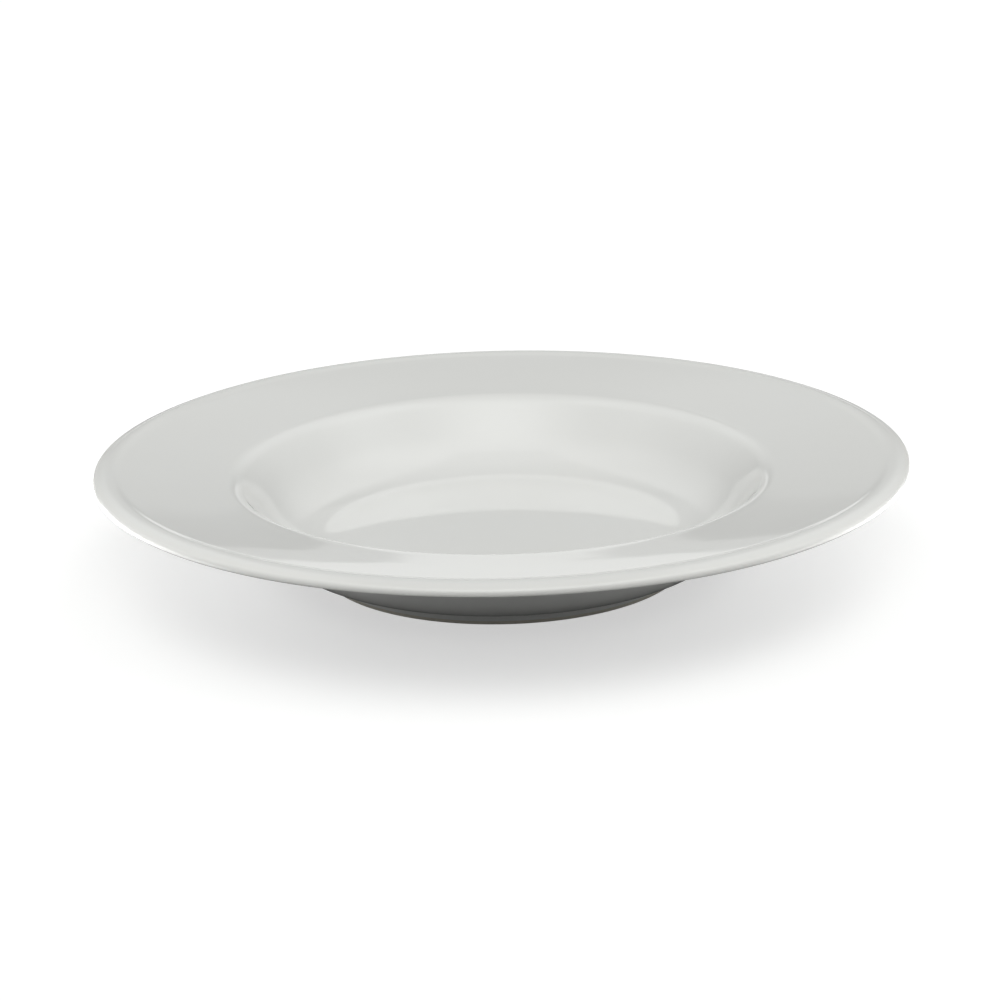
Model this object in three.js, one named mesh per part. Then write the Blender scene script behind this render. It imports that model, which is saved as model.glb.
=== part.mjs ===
// Soup plate of white porcelain with a wide sloping rim, a deep round well and a standing foot ring.
// One pressed and fired body carries a coat of clear glaze. The coat runs from the middle of the well
// over the rim and down the underside to the foot ring. A second patch of glaze fills the recess inside
// the ring. The face that the ring stands on is wiped clean before firing, so it stays bare.
// Lengths are in millimetres, +Z is up, and the plate stands on z = 0 with its axis on Z.
import * as THREE from 'three';

// Rim
const RIM_DIAMETER = 230;      // across the outermost edge
const RIM_SLOPE = 6.9;         // rise of the rim from the shoulder to its bend, degrees
const RIM_BEND = 16.5;         // the rim grows a little steeper this far in from the edge
const BEND_SLOPE = 8.1;        // rise of the rim from its bend to the rolled edge, degrees
const ROLL_WIDTH = 7.4;        // the rolled edge, from the crease in the rim out to the edge
const ROLL_SLOPE = 15.5;       // rise from the crease to the crest of the roll, degrees
const CREST_WIDTH = 4.2;       // from the crest out to the edge
const CREST_FALL = 22;         // fall from the crest to the edge, degrees
const EDGE_THICKNESS = 1.71;   // upright part of the edge, before rounding
const UNDER_SLOPE = 10.8;      // slope of the rim's underside, so the rim is thicker at the well

// Well
const SHOULDER_DIAMETER = 150.1; // where the lines of the rim and of the wall would meet
const SHOULDER_HEIGHT = 28.39; // height of that line above the table
const FLOOR_HEIGHT = 9.8;      // top of the well's floor above the table
const WALL_SLOPE = 52;         // steepest part of the well's wall, degrees
const WALL_THICKNESS = 5;      // across the steepest part of the wall

// Foot
const FOOT_DIAMETER = 104.2;   // across the foot ring where it stands
const FOOT_HEIGHT = 3.5;       // outer side of the ring, up to the underside of the well
const FOOT_TAPER = 0.5;        // the ring is wider by this at its root, on each side
const FOOT_WIDTH = 4.1;        // thickness of the ring where it stands
const RECESS_HEIGHT = 4.6;     // ceiling of the recess inside the ring
const SKIRT_SLOPE = 7;         // slope of the underside just outside the ring, degrees

// Fillets
const FLOOR_FILLET = 24;
const SHOULDER_FILLET = 7;
const BEND_FILLET = 700;
const CREASE_FILLET = 12;
const CREST_FILLET = 6;
const EDGE_TOP_FILLET = 1.5;
const EDGE_LOW_FILLET = 0.8;
const UNDER_SHOULDER_FILLET = 9;
const BELLY_FILLET = 23;
const FOOT_ROOT_FILLET = 1.2;
const FOOT_FILLET = 0.8;
const RECESS_FILLET = 2;

// Glaze
const GLAZE = 0.25;            // thickness of the coat
const BARE_HEIGHT = 1.2;       // the glaze ends this far above the table on both sides of the ring

// Fineness of the turned surfaces
const SECTORS = 60;
const ARC_STEP = 18;           // degrees of a fillet per chord
const FILLET_ROOM = 0.98;      // share of a straight that its two fillets may take up

const rad = THREE.MathUtils.degToRad;
const point = (r, z, fillet = 0) => Object.assign(new THREE.Vector2(r, z), { fillet });

// The point at a radius, or at a height, on the line that leaves a point with a slope in degrees
const outTo = (from, deg, r, fillet) => point(r, from.y + (r - from.x) * Math.tan(rad(deg)), fillet);
const onFrom = (from, deg, z, fillet) => point(from.x + (z - from.y) / Math.tan(rad(deg)), z, fillet);

// Meeting point of two lines, each given by a point and a direction in degrees.
function meet(a, aDeg, b, bDeg) {
  const u = new THREE.Vector2(Math.cos(rad(aDeg)), Math.sin(rad(aDeg)));
  const v = new THREE.Vector2(Math.cos(rad(bDeg)), Math.sin(rad(bDeg)));
  const t = b.clone().sub(a).cross(v) / u.cross(v);
  return a.clone().addScaledVector(u, t);
}

// A line of corners with each corner rounded by its fillet. Where two fillets need more room than
// the straight between them has, both shrink to fit.
function rounded(corners) {
  const last = corners.length - 1;
  const length = corners.slice(1).map((c, i) => c.distanceTo(corners[i]));
  const turn = corners.map((c, i) => {
    if (i === 0 || i === last) return 0;
    const a = c.clone().sub(corners[i - 1]), b = corners[i + 1].clone().sub(c);
    return Math.atan2(a.cross(b), a.dot(b));
  });
  const wanted = corners.map((c, i) => c.fillet * Math.tan(Math.abs(turn[i]) / 2));
  const share = length.map((l, i) => Math.min(1, (FILLET_ROOM * l) / (wanted[i] + wanted[i + 1] || l)));
  return corners.flatMap((c, i) => {
    if (i === 0 || i === last || wanted[i] === 0) return [new THREE.Vector2(c.x, c.y)];
    const reach = wanted[i] * Math.min(share[i - 1], share[i]);
    const radius = reach / Math.tan(Math.abs(turn[i]) / 2);
    const back = corners[i - 1].clone().sub(c).normalize();
    const start = c.clone().addScaledVector(back, reach);
    const side = Math.sign(turn[i]);
    const hub = start.clone().add(new THREE.Vector2(back.y, -back.x).multiplyScalar(side * radius));
    const arm = start.clone().sub(hub);
    const steps = Math.max(2, Math.ceil(Math.abs(turn[i]) / rad(ARC_STEP)));
    return Array.from({ length: steps + 1 }, (_, k) =>
      arm.clone().rotateAround(new THREE.Vector2(), (turn[i] * k) / steps).add(hub));
  });
}

// The same line moved to its right-hand side by a depth. Ends that lie on the axis stay on it.
function inset(line, depth) {
  const normal = line.slice(1).map((p, i) => {
    const d = p.clone().sub(line[i]).normalize();
    return new THREE.Vector2(d.y, -d.x);
  });
  return line.map((p, i) => {
    const a = normal[Math.max(0, i - 1)], b = normal[Math.min(normal.length - 1, i)];
    return p.clone().addScaledVector(a.clone().add(b), depth / (1 + a.dot(b)));
  });
}

// A closed solid turned from a line that starts and ends on the axis, or from a closed loop.
function turned(name, line, material) {
  const geometry = new THREE.LatheGeometry(line, SECTORS);
  geometry.rotateX(Math.PI / 2);
  const mesh = new THREE.Mesh(geometry, material);
  mesh.name = name;
  return mesh;
}

// Corners of the glazed outline, from the middle of the floor outwards and back underneath
const edge = RIM_DIAMETER / 2;
const shoulder = point(SHOULDER_DIAMETER / 2, SHOULDER_HEIGHT, SHOULDER_FILLET);
const floorEdge = onFrom(shoulder, WALL_SLOPE, FLOOR_HEIGHT, FLOOR_FILLET);
const bend = outTo(shoulder, RIM_SLOPE, edge - RIM_BEND, BEND_FILLET);
const crease = outTo(bend, BEND_SLOPE, edge - ROLL_WIDTH, CREASE_FILLET);
const crest = outTo(crease, ROLL_SLOPE, edge - CREST_WIDTH, CREST_FILLET);
const edgeTop = outTo(crest, -CREST_FALL, edge, EDGE_TOP_FILLET);
const edgeLow = point(edge, edgeTop.y - EDGE_THICKNESS, EDGE_LOW_FILLET);
const outerWall = new THREE.Vector2(
  shoulder.x + WALL_THICKNESS * Math.sin(rad(WALL_SLOPE)),
  shoulder.y - WALL_THICKNESS * Math.cos(rad(WALL_SLOPE)));
const footRoot = point(FOOT_DIAMETER / 2 + FOOT_TAPER, FOOT_HEIGHT, FOOT_ROOT_FILLET);
const underShoulder = meet(edgeLow, UNDER_SLOPE, outerWall, WALL_SLOPE);
underShoulder.fillet = UNDER_SHOULDER_FILLET;
const belly = meet(footRoot, SKIRT_SLOPE, outerWall, WALL_SLOPE);
belly.fillet = BELLY_FILLET;

// The outline passes one coat's thickness under the table at the ring, so the bare body stands on it
const footOut = point(FOOT_DIAMETER / 2, -GLAZE, FOOT_FILLET);
const footIn = point(FOOT_DIAMETER / 2 - FOOT_WIDTH, -GLAZE, FOOT_FILLET);
const recess = point(footIn.x - FOOT_TAPER, RECESS_HEIGHT, RECESS_FILLET);
const along = (a, b, z) => point(THREE.MathUtils.mapLinear(z, a.y, b.y, a.x, b.x), z);
const outerStop = along(footOut, footRoot, BARE_HEIGHT);
const innerStop = along(footIn, recess, BARE_HEIGHT);

const coatLine = rounded([
  point(0, FLOOR_HEIGHT), floorEdge, shoulder, bend, crease, crest, edgeTop, edgeLow,
  underShoulder, belly, footRoot, outerStop]);
const footLine = rounded([outerStop, footOut, footIn, innerStop]);
const recessLine = rounded([innerStop, recess, point(0, RECESS_HEIGHT)]);
const bodyLine = inset([...coatLine, ...footLine.slice(1), ...recessLine.slice(1)], GLAZE);
const underCoat = bodyLine.slice(0, coatLine.length);
const underRecess = bodyLine.slice(-recessLine.length);

const porcelain = new THREE.MeshStandardMaterial({ color: 0xe6e1d6, roughness: 0.85 });
const coatGlaze = new THREE.MeshStandardMaterial({ color: 0xeceeea, roughness: 0.08 });
const recessGlaze = new THREE.MeshStandardMaterial({ color: 0xe9ebe6, roughness: 0.12 });

const plate = new THREE.Group();
plate.name = 'soup_plate';
plate.add(
  turned('porcelain_body', [...bodyLine].reverse(), porcelain),
  turned('glaze_coat', [...underCoat, ...[...coatLine].reverse()], coatGlaze),
  turned('foot_recess_glaze', [...recessLine].reverse().concat(underRecess), recessGlaze));

export default plate;
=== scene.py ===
"""Soup plate of white glazed porcelain, dressed for a studio picture.

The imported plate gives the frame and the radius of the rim. The coat of glaze, the patch of glaze in the
foot recess and the bare body are turned again from the same outline with a far finer step, and each gets
its own finish. Lengths are in millimetres where nothing else is said, and become metres when a piece is
made. Angles are in degrees. +Z is up and the viewer stands at -Y.
"""

import math

import bpy
from mathutils import Matrix, Vector


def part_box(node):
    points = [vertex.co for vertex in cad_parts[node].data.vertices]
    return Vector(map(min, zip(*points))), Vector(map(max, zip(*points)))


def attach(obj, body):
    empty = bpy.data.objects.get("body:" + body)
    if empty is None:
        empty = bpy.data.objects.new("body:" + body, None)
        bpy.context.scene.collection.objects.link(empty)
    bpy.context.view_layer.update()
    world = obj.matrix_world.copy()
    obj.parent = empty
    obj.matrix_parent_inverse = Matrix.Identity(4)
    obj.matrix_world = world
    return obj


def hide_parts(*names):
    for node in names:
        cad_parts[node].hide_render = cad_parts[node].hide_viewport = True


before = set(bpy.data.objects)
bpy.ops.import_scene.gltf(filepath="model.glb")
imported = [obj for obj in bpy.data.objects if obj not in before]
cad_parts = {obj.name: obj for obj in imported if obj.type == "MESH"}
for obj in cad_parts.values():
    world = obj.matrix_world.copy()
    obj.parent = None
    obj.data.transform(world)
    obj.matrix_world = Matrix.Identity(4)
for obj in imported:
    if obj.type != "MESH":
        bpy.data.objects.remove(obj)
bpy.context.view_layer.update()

MM = 0.001

# Rim
EDGE_RADIUS = (Vector(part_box("glaze_coat")[1]) / MM).x
RIM_SLOPE = 6.9             # from the shoulder to the bend
RIM_BEND = 16.5             # from the edge in to where the rim grows a little steeper
BEND_SLOPE = 8.1            # from the bend to the rolled edge
ROLL_WIDTH = 7.4            # the rolled edge, from the crease in the rim to the outermost edge
ROLL_SLOPE = 15.5           # from the crease up to the crest
CREST_WIDTH = 4.2           # from the crest to the outermost edge
CREST_FALL = 22.0           # from the crest down to the edge
EDGE_THICKNESS = 1.71       # upright part of the edge, before rounding
UNDER_SLOPE = 10.8          # underside of the rim

# Well
SHOULDER_RADIUS = 75.05
SHOULDER_HEIGHT = 28.39
FLOOR_HEIGHT = 9.8
WALL_SLOPE = 52.0
WALL_THICKNESS = 5.0

# Foot
FOOT_RADIUS = 52.1
FOOT_HEIGHT = 3.5
FOOT_TAPER = 0.5
FOOT_WIDTH = 4.1
RECESS_HEIGHT = 4.6
SKIRT_SLOPE = 7.0           # underside just outside the ring

# Fillets
FLOOR_FILLET = 24.0
SHOULDER_FILLET = 7.0
BEND_FILLET = 700.0
CREASE_FILLET = 12.0
CREST_FILLET = 6.0
EDGE_TOP_FILLET = 1.5
EDGE_LOW_FILLET = 0.8
UNDER_SHOULDER_FILLET = 9.0
BELLY_FILLET = 23.0
FOOT_ROOT_FILLET = 1.2
FOOT_FILLET = 0.8
RECESS_FILLET = 2.0

# Glaze
GLAZE = 0.25
BARE_HEIGHT = 1.2           # the glaze ends this far above the table on both sides of the ring
HAIRLINE = 0.02             # room between the glaze and the body under it
WAVINESS = 0.05             # height of the gentle waves in the fired glaze

# Finishes
NOISE_WIDE = (0.3, 0.7)     # the part of a noise's values that is spread out to the whole of 0 to 1
NOISE_MIDDLE = (0.35, 0.65)
NOISE_HIGH = (0.5, 0.68)
GLAZE_IOR = 1.52
GLAZE_DRIFT = 0.35          # how far clouds in the glaze go towards the colour of thin glaze
PEEL_SHARE = 0.06           # height of the glaze's fine skin, compared with its broad swells
GLAZE_SPECK_SHADE = 0.45    # how strongly a speck colours the glaze
CLAY_SPECK_SHADE = 0.6      # the same on bare clay
CLAY_ROUGHNESS = (0.72, 0.9)
SCUFF_HEIGHT = 0.35         # rubbing reaches this far up from the table
SCUFF_SHADE = 0.5           # how strongly rubbing greys the clay

# Fineness of the turned surfaces
SECTORS = 240
ARC_STEP = 4.0              # degrees of a fillet per chord
LEAST_ARC_STEPS = 6
STRAIGHT_STEP = 3.0         # longest chord on a straight
FILLET_ROOM = 0.98          # share of a straight that its two fillets may take up
HARD_EDGE = 40.0            # degrees from which an edge is left sharp
MERGE_DISTANCE = 0.002      # points nearer than this are one, which closes the seam and the poles

# Studio floor
GROUND_SIDE = 12.0          # metres
GROUND_SEEN = 0.55          # its grey to the viewer
GROUND_BOUNCE = 0.36        # its grey to the light that bounces off it
GROUND_LIFT = 0.54          # own light that only the viewer sees, so the open floor reaches white

# Camera
VIEW_DISTANCE = 923.7
VIEW_ELEVATION = 17.61
VIEW_ROLL = -1.31
VIEW_AIM = Vector((-0.58, 0.0, 19.0))
LENS = 117.0
SENSOR_WIDTH = 36.0

# Light: how bright each part of the room looks from the plate, with 1 as white
SKY_TINT = (0.993, 1.0, 0.985, 1.0)     # colour of all the light but the panels' own
ROOM = 0.65                 # the room all round, well above the horizon
ROOM_LOW = 0.3              # the same near the horizon
ROOM_RISE = (0.2, 0.55)     # sines of the elevations between which it rises from low to full
WALL_STEPS = (              # bands of the wall behind: lower and upper elevation, level
    (0.0, 5.5, 0.85),
    (5.5, 7.3, 0.45),
    (7.3, 12.0, 0.15),
    (12.0, 27.0, 0.25),
    (30.0, 52.0, 0.0),
)
STEP_BLUR = 0.1             # a band is even apart from this much at both of its ends
WALL_SPAN = 0.8             # sine of the elevation at the end of the wall's ramp
WALL_SIDE = (0.26, 0.16)    # sideways share of a direction where the wall ends and where it is full
CEILING = (                 # soft round patches one unit above the plate: middle, outer radius, level
    ("ceiling_front", 0.0, -0.75, 0.85, 2.3),
    ("ceiling_left", -0.75, 0.0, 0.8, 0.45),
    ("ceiling_middle", 0.0, 0.0, 0.7, 0.6),
    ("ceiling_right", 0.75, 0.0, 0.8, 1.05),
)
LOW_LIGHTS = (              # soft patches on the horizon: azimuth, inner and outer radius, level
    ("low_left", -62.0, 14.0, 28.0, 7.5),
    ("low_right", 62.0, 14.0, 28.0, 6.0),
)
LOW_TOP = (7.0, 4.5)        # elevations where the low lights end and where they are full
PANELS = (                  # lamps that lie on the floor: middle, width and length in metres, level
    ("left_panel", -0.36, 0.0, 0.46, 0.24, 3.2),
    ("right_panel", 0.36, 0.0, 0.46, 0.24, 3.2),
)
PANEL_HEIGHT = 0.002        # metres above the floor

WHITE = (1.0, 1.0, 1.0, 1.0)
MIX_SOCKETS = {"FLOAT": (2, 3, 0), "RGBA": (6, 7, 2)}   # places of a Mix node's operands and its result


def grey(level):
    return level, level, level, 1.0


def sine(degrees):
    return math.sin(math.radians(degrees))


def cosine(degrees):
    return math.cos(math.radians(degrees))


# Outline of the plate

def meet(a, a_slope, b, b_slope):
    """Meeting point of two lines, each given by a point and its slope."""
    u = Vector((cosine(a_slope), sine(a_slope)))
    v = Vector((cosine(b_slope), sine(b_slope)))
    return a + u * ((b - a).cross(v) / u.cross(v))


def on_from(spot, radius, slope):
    """The point at a radius on the line that leaves a point with a slope."""
    return Vector((radius, spot.y + (radius - spot.x) * math.tan(math.radians(slope))))


def rounded(corners):
    """A line of corners, each rounded by its fillet, with its straights cut into short chords."""
    spots = [spot for spot, fillet in corners]
    last = len(spots) - 1
    turn = [0.0] * len(spots)
    for i in range(1, last):
        a, b = spots[i] - spots[i - 1], spots[i + 1] - spots[i]
        turn[i] = math.atan2(a.cross(b), a.dot(b))
    wanted = [fillet * math.tan(abs(t) / 2) for (spot, fillet), t in zip(corners, turn)]
    share = []
    for i in range(last):
        need = wanted[i] + wanted[i + 1]
        share.append(min(1.0, FILLET_ROOM * (spots[i + 1] - spots[i]).length / need) if need else 1.0)
    line = []
    for i, spot in enumerate(spots):
        if i in (0, last) or not wanted[i]:
            line.append(spot)
            continue
        reach = wanted[i] * min(share[i - 1], share[i])
        radius = reach / math.tan(abs(turn[i]) / 2)
        back = (spots[i - 1] - spot).normalized()
        start = spot + back * reach
        hub = start + Vector((back.y, -back.x)) * math.copysign(radius, turn[i])
        steps = max(LEAST_ARC_STEPS, math.ceil(math.degrees(abs(turn[i])) / ARC_STEP))
        for k in range(steps + 1):
            line.append(hub + Matrix.Rotation(turn[i] * k / steps, 2) @ (start - hub))
    fine = [line[0]]
    for a, b in zip(line, line[1:]):
        cuts = max(1, math.ceil((b - a).length / STRAIGHT_STEP))
        fine += [a.lerp(b, k / cuts) for k in range(1, cuts + 1)]
    return fine


def inset(line, depth):
    """The same line moved to its right-hand side by a depth."""
    normals = []
    for a, b in zip(line, line[1:]):
        along = (b - a).normalized()
        normals.append(Vector((along.y, -along.x)))
    moved = []
    for i, spot in enumerate(line):
        a, b = normals[max(0, i - 1)], normals[min(len(normals) - 1, i)]
        moved.append(spot + (a + b) * (depth / (1 + a.dot(b))))
    return moved


def plate_outlines():
    """Outlines of the coat, the body and the recess patch, as lines of (radius, height) points."""
    shoulder = Vector((SHOULDER_RADIUS, SHOULDER_HEIGHT))
    bend = on_from(shoulder, EDGE_RADIUS - RIM_BEND, RIM_SLOPE)
    crease = on_from(bend, EDGE_RADIUS - ROLL_WIDTH, BEND_SLOPE)
    crest = on_from(crease, EDGE_RADIUS - CREST_WIDTH, ROLL_SLOPE)
    edge_top = on_from(crest, EDGE_RADIUS, -CREST_FALL)
    edge_low = edge_top - Vector((0, EDGE_THICKNESS))
    wall = math.radians(WALL_SLOPE)
    floor_edge = Vector((shoulder.x - (shoulder.y - FLOOR_HEIGHT) / math.tan(wall), FLOOR_HEIGHT))
    outer_wall = shoulder + Vector((math.sin(wall), -math.cos(wall))) * WALL_THICKNESS
    foot_root = Vector((FOOT_RADIUS + FOOT_TAPER, FOOT_HEIGHT))
    under_shoulder = meet(edge_low, UNDER_SLOPE, outer_wall, WALL_SLOPE)
    belly = meet(foot_root, SKIRT_SLOPE, outer_wall, WALL_SLOPE)
    # The outline passes one coat's thickness under the table at the ring, so the bare body stands on it
    foot_out = Vector((FOOT_RADIUS, -GLAZE))
    foot_in = Vector((FOOT_RADIUS - FOOT_WIDTH, -GLAZE))
    recess = Vector((foot_in.x - FOOT_TAPER, RECESS_HEIGHT))
    outer_stop = foot_out.lerp(foot_root, (BARE_HEIGHT + GLAZE) / (FOOT_HEIGHT + GLAZE))
    inner_stop = foot_in.lerp(recess, (BARE_HEIGHT + GLAZE) / (RECESS_HEIGHT + GLAZE))

    coat = rounded([
        (Vector((0, FLOOR_HEIGHT)), 0.0), (floor_edge, FLOOR_FILLET), (shoulder, SHOULDER_FILLET),
        (bend, BEND_FILLET), (crease, CREASE_FILLET), (crest, CREST_FILLET),
        (edge_top, EDGE_TOP_FILLET), (edge_low, EDGE_LOW_FILLET),
        (under_shoulder, UNDER_SHOULDER_FILLET), (belly, BELLY_FILLET),
        (foot_root, FOOT_ROOT_FILLET), (outer_stop, 0.0)])
    foot = rounded([
        (outer_stop, 0.0), (foot_out, FOOT_FILLET), (foot_in, FOOT_FILLET), (inner_stop, 0.0)])
    patch = rounded([
        (inner_stop, 0.0), (recess, RECESS_FILLET), (Vector((0, RECESS_HEIGHT)), 0.0)])

    whole = coat + foot[1:] + patch[1:]
    under = inset(whole, GLAZE)
    body = inset(whole, GLAZE + HAIRLINE)
    bare = slice(len(coat), len(coat) + len(foot) - 2)
    body[bare] = under[bare]
    under_coat = under[:len(coat)]
    under_patch = under[-len(patch):]
    return {
        "glaze_coat": coat + under_coat[::-1],
        "porcelain_body": body,
        "foot_recess_glaze": under_patch[::-1] + patch,
    }


# Helpers for node trees

def put(tree, kind, **settings):
    """Adds a node to a tree and sets its properties."""
    node = tree.nodes.new(kind)
    for name, value in settings.items():
        setattr(node, name, value)
    return node


def feed(tree, socket, operand):
    """Links an output socket to an input socket, or sets the input to a plain value."""
    if isinstance(operand, bpy.types.NodeSocket):
        tree.links.new(operand, socket)
    else:
        socket.default_value = operand


def calculate(tree, operation, first, second=None):
    """A Math node, whose operands are sockets or numbers. Gives back its output socket."""
    node = put(tree, "ShaderNodeMath", operation=operation)
    feed(tree, node.inputs[0], first)
    if second is not None:
        feed(tree, node.inputs[1], second)
    return node.outputs[0]


def map_range(tree, value, low, high, to_low=0.0, to_high=1.0, smooth=False):
    """A clamped Map Range node from low..high to to_low..to_high. Gives back its output socket."""
    node = put(tree, "ShaderNodeMapRange", interpolation_type="SMOOTHSTEP" if smooth else "LINEAR")
    for name, operand in (("Value", value), ("From Min", low), ("From Max", high),
                          ("To Min", to_low), ("To Max", to_high)):
        feed(tree, node.inputs[name], operand)
    return node.outputs["Result"]


def noise(tree, place, length, detail):
    """Noise from 0 to 1 whose humps are about the given number of millimetres apart."""
    node = put(tree, "ShaderNodeTexNoise")
    tree.links.new(place, node.inputs["Vector"])
    node.inputs["Scale"].default_value = 1.0 / (length * MM)
    node.inputs["Detail"].default_value = detail
    return node.outputs[0]


def blend(tree, kind, share, first, second):
    """A Mix node: first where the share is 0, second where it is 1. Gives back its output socket."""
    first_place, second_place, result_place = MIX_SOCKETS[kind]
    node = put(tree, "ShaderNodeMix", data_type=kind)
    feed(tree, node.inputs[0], share)
    feed(tree, node.inputs[first_place], first)
    feed(tree, node.inputs[second_place], second)
    return node.outputs[result_place]


def blend_colours(tree, share, first, second):
    return blend(tree, "RGBA", share, first, second)


def blend_numbers(tree, share, first, second):
    return blend(tree, "FLOAT", share, first, second)


def split_place(tree, place):
    """The X, Y and Z sockets of a place or a direction."""
    parts = put(tree, "ShaderNodeSeparateXYZ")
    tree.links.new(place, parts.inputs["Vector"])
    return parts.outputs


def add_sockets(tree, inputs, outputs):
    """Gives a tree its named sockets. Gives back its group input and group output nodes."""
    for in_out, sockets in (("INPUT", inputs), ("OUTPUT", outputs)):
        for name, kind in sockets.items():
            tree.interface.new_socket(name, in_out=in_out, socket_type="NodeSocket" + kind)
    return put(tree, "NodeGroupInput"), put(tree, "NodeGroupOutput")


# The wheel that turns an outline into a piece

def turn_outline(tree, given):
    """A grid of points, one row for each point of the outline, turned round the axis and closed."""
    link = tree.links.new
    count = put(tree, "GeometryNodeAttributeDomainSize", component="MESH")
    link(given.outputs["Outline"], count.inputs["Geometry"])
    grid = put(tree, "GeometryNodeMeshGrid")
    columns = calculate(tree, "ADD", given.outputs["Sectors"], 1.0)
    link(count.outputs["Point Count"], grid.inputs["Vertices X"])
    link(columns, grid.inputs["Vertices Y"])

    index = put(tree, "GeometryNodeInputIndex").outputs["Index"]
    # Half a point more keeps the row number clear of rounding
    middle = calculate(tree, "ADD", index, 0.5)
    row = calculate(tree, "FLOOR", calculate(tree, "DIVIDE", middle, columns))
    column = calculate(tree, "SUBTRACT", index, calculate(tree, "MULTIPLY", row, columns))
    share = calculate(tree, "DIVIDE", column, given.outputs["Sectors"])
    spot = put(tree, "GeometryNodeSampleIndex", data_type="FLOAT_VECTOR", domain="POINT")
    link(given.outputs["Outline"], spot.inputs["Geometry"])
    link(put(tree, "GeometryNodeInputPosition").outputs["Position"], spot.inputs["Value"])
    link(row, spot.inputs["Index"])
    turned = put(tree, "ShaderNodeVectorRotate", rotation_type="Z_AXIS")
    link(spot.outputs["Value"], turned.inputs["Vector"])
    link(calculate(tree, "MULTIPLY", share, 2 * math.pi), turned.inputs["Angle"])
    placed = put(tree, "GeometryNodeSetPosition")
    link(grid.outputs["Mesh"], placed.inputs["Geometry"])
    link(turned.outputs["Vector"], placed.inputs["Position"])
    closed = put(tree, "GeometryNodeMergeByDistance")
    closed.inputs["Distance"].default_value = MERGE_DISTANCE * MM
    link(placed.outputs["Geometry"], closed.inputs["Geometry"])
    return closed.outputs["Geometry"]


def wave_surface(tree, given, piece):
    """Gentle waves all over the surface, as a fired glaze has."""
    link = tree.links.new
    wave = put(tree, "ShaderNodeTexNoise", noise_dimensions="4D")
    wave.inputs["Detail"].default_value = 1.0
    link(put(tree, "GeometryNodeInputPosition").outputs["Position"], wave.inputs["Vector"])
    link(given.outputs["Seed"], wave.inputs["W"])
    link(calculate(tree, "DIVIDE", 1.0, given.outputs["Wave Length"]), wave.inputs["Scale"])
    swing = calculate(tree, "SUBTRACT", wave.outputs[0], 0.5)
    push = put(tree, "ShaderNodeVectorMath", operation="SCALE")
    link(put(tree, "GeometryNodeInputNormal").outputs["Normal"], push.inputs[0])
    link(calculate(tree, "MULTIPLY", swing, given.outputs["Waviness"]), push.inputs["Scale"])
    waved = put(tree, "GeometryNodeSetPosition")
    link(piece, waved.inputs["Geometry"])
    link(push.outputs["Vector"], waved.inputs["Offset"])
    return waved.outputs["Geometry"]


def smooth_surface(tree, given, piece):
    """Smooth shading everywhere but at hard edges."""
    link = tree.links.new
    smooth = put(tree, "GeometryNodeSetShadeSmooth", domain="FACE")
    link(piece, smooth.inputs["Geometry"])
    fold = put(tree, "GeometryNodeInputMeshEdgeAngle")
    sharp = put(tree, "FunctionNodeCompare", data_type="FLOAT", operation="GREATER_THAN")
    link(fold.outputs["Unsigned Angle"], sharp.inputs["A"])
    link(given.outputs["Hard Edge"], sharp.inputs["B"])
    creased = put(tree, "GeometryNodeSetShadeSmooth", domain="EDGE")
    creased.inputs["Shade Smooth"].default_value = False
    link(smooth.outputs["Geometry"], creased.inputs["Geometry"])
    link(sharp.outputs["Result"], creased.inputs["Selection"])
    return creased.outputs["Geometry"]


def make_wheel_tree():
    """Geometry nodes that turn an outline round the axis, like clay on a potter's wheel."""
    tree = bpy.data.node_groups.new("turn_on_wheel", "GeometryNodeTree")
    given, result = add_sockets(
        tree,
        {"Outline": "Geometry", "Sectors": "Int", "Waviness": "Float", "Wave Length": "Float",
         "Hard Edge": "Float", "Seed": "Float", "Finish": "Material"},
        {"Piece": "Geometry"})
    piece = smooth_surface(tree, given, wave_surface(tree, given, turn_outline(tree, given)))
    real = put(tree, "GeometryNodeRealizeInstances")
    tree.links.new(piece, real.inputs["Geometry"])
    finish = put(tree, "GeometryNodeSetMaterial")
    tree.links.new(real.outputs["Geometry"], finish.inputs["Geometry"])
    tree.links.new(given.outputs["Finish"], finish.inputs["Material"])
    tree.links.new(finish.outputs["Geometry"], result.inputs["Piece"])
    return tree


def turn_piece(name, outline, wheel_tree, finish, waviness, wave_length, seed):
    """Turns one outline into a plain mesh object at the origin."""
    drawn = bpy.data.meshes.new(name + "_outline")
    drawn.from_pydata([(p.x * MM, 0.0, p.y * MM) for p in outline], [], [])
    blank = bpy.data.objects.new(name + "_outline", drawn)
    bpy.context.scene.collection.objects.link(blank)
    wheel = blank.modifiers.new("wheel", "NODES")
    wheel.node_group = wheel_tree
    values = {
        "Sectors": SECTORS,
        "Waviness": waviness * MM,
        "Wave Length": wave_length * MM,
        "Hard Edge": math.radians(HARD_EDGE),
        "Seed": seed,
        "Finish": finish,
    }
    for item in wheel_tree.interface.items_tree:
        if item.in_out == "INPUT" and item.name in values:
            wheel[item.identifier] = values[item.name]
    thrown = blank.evaluated_get(bpy.context.evaluated_depsgraph_get())
    mesh = bpy.data.meshes.new_from_object(thrown)
    mesh.name = name
    blank.modifiers.remove(wheel)
    bpy.data.objects.remove(blank)
    bpy.data.meshes.remove(drawn)
    piece = bpy.data.objects.new(name, mesh)
    bpy.context.scene.collection.objects.link(piece)
    return piece


# Finishes

def new_finish(name):
    """A material with nodes, and its tree and Principled shader."""
    finish = bpy.data.materials.new(name)
    finish.use_nodes = True
    return finish, finish.node_tree, finish.node_tree.nodes["Principled BSDF"]


def use_group(tree, group, **inputs):
    """Places a node group in a material with its own values."""
    node = put(tree, "ShaderNodeGroup", node_tree=group)
    for name, operand in inputs.items():
        feed(tree, node.inputs[name.replace("_", " ")], operand)
    return node.outputs


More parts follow.
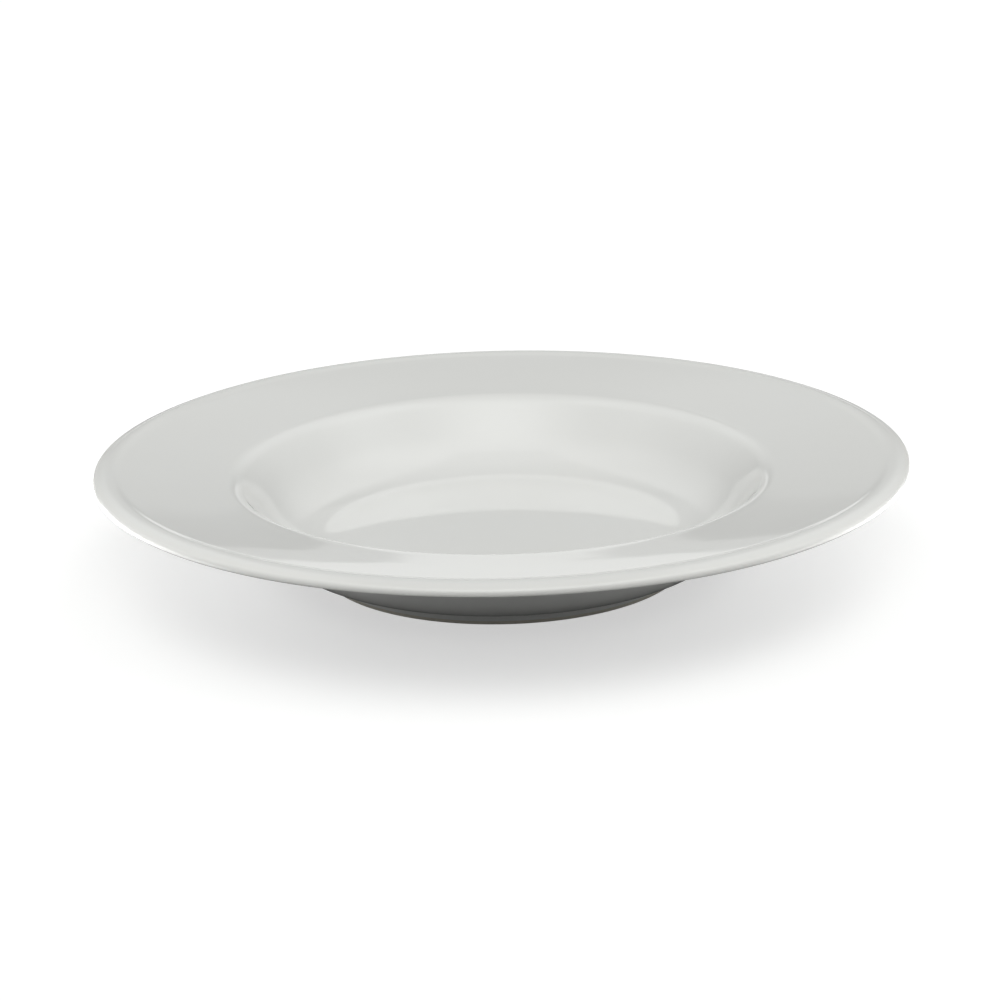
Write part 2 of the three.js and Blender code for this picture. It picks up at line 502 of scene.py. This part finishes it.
def bump_normal(tree, shader, height, strength, depth):
    """Bumps of a depth in millimetres on a shader's normal."""
    bump = put(tree, "ShaderNodeBump")
    bump.inputs["Strength"].default_value = strength
    bump.inputs["Distance"].default_value = depth * MM
    tree.links.new(height, bump.inputs["Height"])
    tree.links.new(bump.outputs["Normal"], shader.inputs["Normal"])


def make_glaze_flow():
    """Group: how a fired glaze varies. Tint mottles its colour, Gloss its smoothness, Height is its skin."""
    group = bpy.data.node_groups.new("glaze_flow", "ShaderNodeTree")
    given, result = add_sockets(
        group,
        {"Place": "Vector", "Thick Colour": "Color", "Thin Colour": "Color", "Thinness": "Float"},
        {"Tint": "Color", "Gloss": "Float", "Height": "Float"})
    place = given.outputs["Place"]

    cloud = noise(group, place, length=60.0, detail=2.0)
    drift = map_range(group, cloud, *NOISE_MIDDLE, to_high=GLAZE_DRIFT)
    share = calculate(group, "MAXIMUM", drift, given.outputs["Thinness"])
    tint = blend_colours(group, share, given.outputs["Thick Colour"], given.outputs["Thin Colour"])
    group.links.new(tint, result.inputs["Tint"])

    haze = noise(group, place, length=25.0, detail=3.0)
    group.links.new(map_range(group, haze, *NOISE_WIDE), result.inputs["Gloss"])

    swell = noise(group, place, length=14.0, detail=1.0)
    peel = noise(group, place, length=2.6, detail=1.0)
    skin = calculate(group, "ADD", swell, calculate(group, "MULTIPLY", peel, PEEL_SHARE))
    group.links.new(skin, result.inputs["Height"])
    return group


def make_kiln_specks():
    """Group: a mask of rare small round specks, 1 inside a speck."""
    group = bpy.data.node_groups.new("kiln_specks", "ShaderNodeTree")
    given, result = add_sockets(
        group,
        {"Place": "Vector", "Spacing": "Float", "Size": "Float", "Share": "Float"},
        {"Specks": "Float"})
    cells = put(group, "ShaderNodeTexVoronoi")
    group.links.new(given.outputs["Place"], cells.inputs["Vector"])
    group.links.new(calculate(group, "DIVIDE", 1.0, given.outputs["Spacing"]), cells.inputs["Scale"])
    reach = calculate(group, "MULTIPLY", cells.outputs["Distance"], given.outputs["Spacing"])
    dot = map_range(group, reach, given.outputs["Size"], 0.0, smooth=True)
    lot = put(group, "ShaderNodeSeparateColor")
    group.links.new(cells.outputs["Color"], lot.inputs["Color"])
    chosen = calculate(group, "LESS_THAN", lot.outputs["Red"], given.outputs["Share"])
    group.links.new(calculate(group, "MULTIPLY", dot, chosen), result.inputs["Specks"])
    return group


def axis_distance(tree, place):
    """Distance from the plate's axis, in metres."""
    parts = split_place(tree, place)
    flat = put(tree, "ShaderNodeCombineXYZ")
    tree.links.new(parts["X"], flat.inputs["X"])
    tree.links.new(parts["Y"], flat.inputs["Y"])
    length = put(tree, "ShaderNodeVectorMath", operation="LENGTH")
    tree.links.new(flat.outputs["Vector"], length.inputs[0])
    return length.outputs["Value"]


def make_white_glaze(name, flow, specks, thick, thin, thins_between, roughness, skin_depth):
    """Clear glaze over white porcelain. It thins where it ran off an edge, and there it looks warmer."""
    finish, tree, shader = new_finish(name)
    place = put(tree, "ShaderNodeTexCoord").outputs["Object"]
    thick_to, thin_from = (radius * MM for radius in thins_between)
    thinness = map_range(tree, axis_distance(tree, place), thick_to, thin_from, smooth=True)
    run = use_group(tree, flow, Place=place, Thick_Colour=thick, Thin_Colour=thin, Thinness=thinness)
    dots = use_group(tree, specks, Place=place, Spacing=9.0 * MM, Size=0.16 * MM, Share=0.05)
    speckled = calculate(tree, "MULTIPLY", dots["Specks"], GLAZE_SPECK_SHADE)
    speck_brown = (0.34, 0.29, 0.22, 1.0)
    tree.links.new(blend_colours(tree, speckled, run["Tint"], speck_brown), shader.inputs["Base Color"])
    tree.links.new(map_range(tree, run["Gloss"], 0.0, 1.0, *roughness), shader.inputs["Roughness"])
    bump_normal(tree, shader, run["Height"], strength=1.0, depth=skin_depth)
    shader.inputs["IOR"].default_value = GLAZE_IOR
    return finish


def make_bare_porcelain(specks):
    """Unglazed fired clay of the foot ring: warm, matt, gritty, and rubbed grey where it slides on tables."""
    pale_clay, dark_clay = (0.70, 0.67, 0.60, 1.0), (0.63, 0.60, 0.53, 1.0)
    rubbed_grey = (0.36, 0.35, 0.33, 1.0)
    speck_brown = (0.25, 0.19, 0.13, 1.0)
    finish, tree, shader = new_finish("bare_porcelain")
    place = put(tree, "ShaderNodeTexCoord").outputs["Object"]
    height = split_place(tree, place)["Z"]
    grain = noise(tree, place, length=0.5, detail=3.0)
    cloud = noise(tree, place, length=14.0, detail=3.0)
    rubs = noise(tree, place, length=5.0, detail=4.0)
    clay = blend_colours(tree, map_range(tree, cloud, *NOISE_MIDDLE), pale_clay, dark_clay)
    low = map_range(tree, height, SCUFF_HEIGHT * MM, 0.0, smooth=True)
    scuffs = calculate(tree, "MULTIPLY", low, map_range(tree, rubs, *NOISE_HIGH))
    worn = blend_colours(tree, calculate(tree, "MULTIPLY", scuffs, SCUFF_SHADE), clay, rubbed_grey)
    dots = use_group(tree, specks, Place=place, Spacing=3.0 * MM, Size=0.18 * MM, Share=0.16)
    speckled = calculate(tree, "MULTIPLY", dots["Specks"], CLAY_SPECK_SHADE)
    tree.links.new(blend_colours(tree, speckled, worn, speck_brown), shader.inputs["Base Color"])
    tree.links.new(map_range(tree, grain, *NOISE_WIDE, *CLAY_ROUGHNESS), shader.inputs["Roughness"])
    bump_normal(tree, shader, grain, strength=0.6, depth=0.06)
    return finish


# Studio

def make_floor():
    """A plain floor: pale to the viewer, and a quiet grey to the light that bounces off it."""
    half = GROUND_SIDE / 2
    corners = [(-half, -half, 0), (half, -half, 0), (half, half, 0), (-half, half, 0)]
    mesh = bpy.data.meshes.new("studio_floor")
    mesh.from_pydata(corners, [], [(0, 1, 2, 3)])
    floor = bpy.data.objects.new("studio_floor", mesh)
    bpy.context.scene.collection.objects.link(floor)
    finish, tree, shader = new_finish("floor_finish")
    seen = put(tree, "ShaderNodeLightPath").outputs["Is Camera Ray"]
    pale = blend_colours(tree, seen, grey(GROUND_BOUNCE), grey(GROUND_SEEN))
    tree.links.new(pale, shader.inputs["Base Color"])
    lift = blend_colours(tree, seen, grey(0.0), grey(GROUND_LIFT))
    tree.links.new(lift, shader.inputs["Emission Color"])
    shader.inputs["Emission Strength"].default_value = 1.0
    shader.inputs["Roughness"].default_value = 1.0
    shader.inputs["Specular IOR Level"].default_value = 0.0
    mesh.materials.append(finish)
    return floor


def make_camera():
    """The viewer's camera, looking down on the plate from the front."""
    eye = bpy.data.cameras.new("studio_camera")
    eye.lens = LENS
    eye.sensor_width = SENSOR_WIDTH
    camera = bpy.data.objects.new("studio_camera", eye)
    bpy.context.scene.collection.objects.link(camera)
    look = Vector((0.0, cosine(VIEW_ELEVATION), -sine(VIEW_ELEVATION)))
    stand = Matrix.Translation((VIEW_AIM - look * VIEW_DISTANCE) * MM)
    turn = look.to_track_quat("-Z", "Y").to_matrix().to_4x4()
    camera.matrix_world = stand @ turn @ Matrix.Rotation(math.radians(VIEW_ROLL), 4, "Z")
    return camera


def wall_light(sky, parts):
    """The light of the room, and straight behind the plate the stepped wall that the rim mirrors."""
    knots = []
    for low, high, level in WALL_STEPS:
        knots += [(low + STEP_BLUR, level), (high - STEP_BLUR, level)]
    wall = put(sky, "ShaderNodeValToRGB")
    steps = wall.color_ramp.elements
    while len(steps) < len(knots):
        steps.new(0.5)
    for step, (elevation, level) in zip(steps, knots):
        step.position = sine(elevation) / WALL_SPAN
        step.color = grey(level)
    sky.links.new(calculate(sky, "DIVIDE", parts["Z"], WALL_SPAN), wall.inputs["Fac"])
    middle = map_range(sky, calculate(sky, "ABSOLUTE", parts["X"]), *WALL_SIDE, smooth=True)
    behind = calculate(sky, "MULTIPLY", middle, calculate(sky, "GREATER_THAN", parts["Y"], 0.0))
    room = map_range(sky, parts["Z"], *ROOM_RISE, ROOM_LOW, ROOM, smooth=True)
    return blend_numbers(sky, behind, room, wall.outputs["Color"])


def ceiling_light(sky, heading, parts):
    """Soft round patches on a flat ceiling."""
    overhead = put(sky, "ShaderNodeVectorMath", operation="SCALE")
    sky.links.new(heading, overhead.inputs[0])
    sky.links.new(calculate(sky, "DIVIDE", 1.0, parts["Z"]), overhead.inputs["Scale"])
    total = 0.0
    for name, x, y, reach, level in CEILING:
        away = put(sky, "ShaderNodeVectorMath", operation="DISTANCE", label=name)
        sky.links.new(overhead.outputs["Vector"], away.inputs[0])
        away.inputs[1].default_value = (x, y, 1.0)
        patch = map_range(sky, away.outputs["Value"], reach, 0.0, to_high=level, smooth=True)
        total = calculate(sky, "ADD", total, patch)
    return total


def horizon_light(sky, heading, parts):
    """Low lights beside the plate. Azimuth is 0 behind it and 90 on the right."""
    total = 0.0
    for name, azimuth, inner, outer, level in LOW_LIGHTS:
        aim = put(sky, "ShaderNodeVectorMath", operation="DOT_PRODUCT", label=name)
        sky.links.new(heading, aim.inputs[0])
        aim.inputs[1].default_value = (sine(azimuth), cosine(azimuth), 0.0)
        patch = map_range(sky, aim.outputs["Value"], cosine(outer), cosine(inner), to_high=level, smooth=True)
        total = calculate(sky, "ADD", total, patch)
    near_horizon = map_range(sky, parts["Z"], *(sine(elevation) for elevation in LOW_TOP), smooth=True)
    return calculate(sky, "MULTIPLY", total, near_horizon)


def make_world():
    """Soft studio light all round. The viewer sees plain white in its place."""
    world = bpy.data.worlds.new("studio_world")
    world.use_nodes = True
    sky = world.node_tree
    heading = put(sky, "ShaderNodeTexCoord").outputs["Generated"]
    parts = split_place(sky, heading)
    light = calculate(sky, "ADD", wall_light(sky, parts), ceiling_light(sky, heading, parts))
    light = calculate(sky, "ADD", light, horizon_light(sky, heading, parts))
    seen = put(sky, "ShaderNodeLightPath").outputs["Is Camera Ray"]
    backdrop = sky.nodes["Background"]
    sky.links.new(blend_colours(sky, seen, SKY_TINT, WHITE), backdrop.inputs["Color"])
    sky.links.new(blend_numbers(sky, seen, light, 1.0), backdrop.inputs["Strength"])
    return world


def lay_panel(name, x, y, width, length, level):
    """A flat lamp on the floor that shines up evenly. The viewer does not see it."""
    lamp = bpy.data.lights.new(name, "AREA")
    lamp.shape = "RECTANGLE"
    lamp.size = width
    lamp.size_y = length
    lamp.energy = level * math.pi * width * length
    panel = bpy.data.objects.new(name, lamp)
    face_up = Vector((0.0, 0.0, 1.0)).to_track_quat("-Z", "Y").to_matrix().to_4x4()
    panel.matrix_world = Matrix.Translation((x, y, PANEL_HEIGHT)) @ face_up
    panel.visible_camera = False
    bpy.context.scene.collection.objects.link(panel)


# The plate
glaze_flow = make_glaze_flow()
kiln_specks = make_kiln_specks()
white_glaze = make_white_glaze(
    "white_glaze", glaze_flow, kiln_specks,
    thick=(0.80, 0.803, 0.792, 1.0), thin=(0.79, 0.788, 0.77, 1.0), thins_between=(111.0, 114.6),
    roughness=(0.03, 0.05), skin_depth=0.02)
recess_glaze = make_white_glaze(
    "recess_glaze", glaze_flow, kiln_specks,
    thick=(0.775, 0.78, 0.765, 1.0), thin=(0.76, 0.745, 0.70, 1.0), thins_between=(44.0, 48.0),
    roughness=(0.06, 0.14), skin_depth=0.05)
bare_porcelain = make_bare_porcelain(kiln_specks)

outlines = plate_outlines()
wheel_tree = make_wheel_tree()
coat_piece = turn_piece(
    "plate_glaze", outlines["glaze_coat"], wheel_tree, white_glaze,
    waviness=WAVINESS, wave_length=42.0, seed=3.0)
body_piece = turn_piece(
    "plate_body", outlines["porcelain_body"], wheel_tree, bare_porcelain,
    waviness=0.0, wave_length=42.0, seed=3.0)
patch_piece = turn_piece(
    "recess_patch", outlines["foot_recess_glaze"], wheel_tree, recess_glaze,
    waviness=WAVINESS, wave_length=30.0, seed=7.0)

for piece, node, slot in (
    (coat_piece, "glaze_coat", "white_glaze"),
    (body_piece, "porcelain_body", "bare_porcelain"),
    (patch_piece, "foot_recess_glaze", "white_glaze"),
):
    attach(piece, "root")
    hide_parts(node)

# The picture
floor = make_floor()
bpy.context.scene.camera = make_camera()
bpy.context.scene.world = make_world()
for panel in PANELS:
    lay_panel(*panel)
bpy.context.scene.view_settings.view_transform = "Standard"
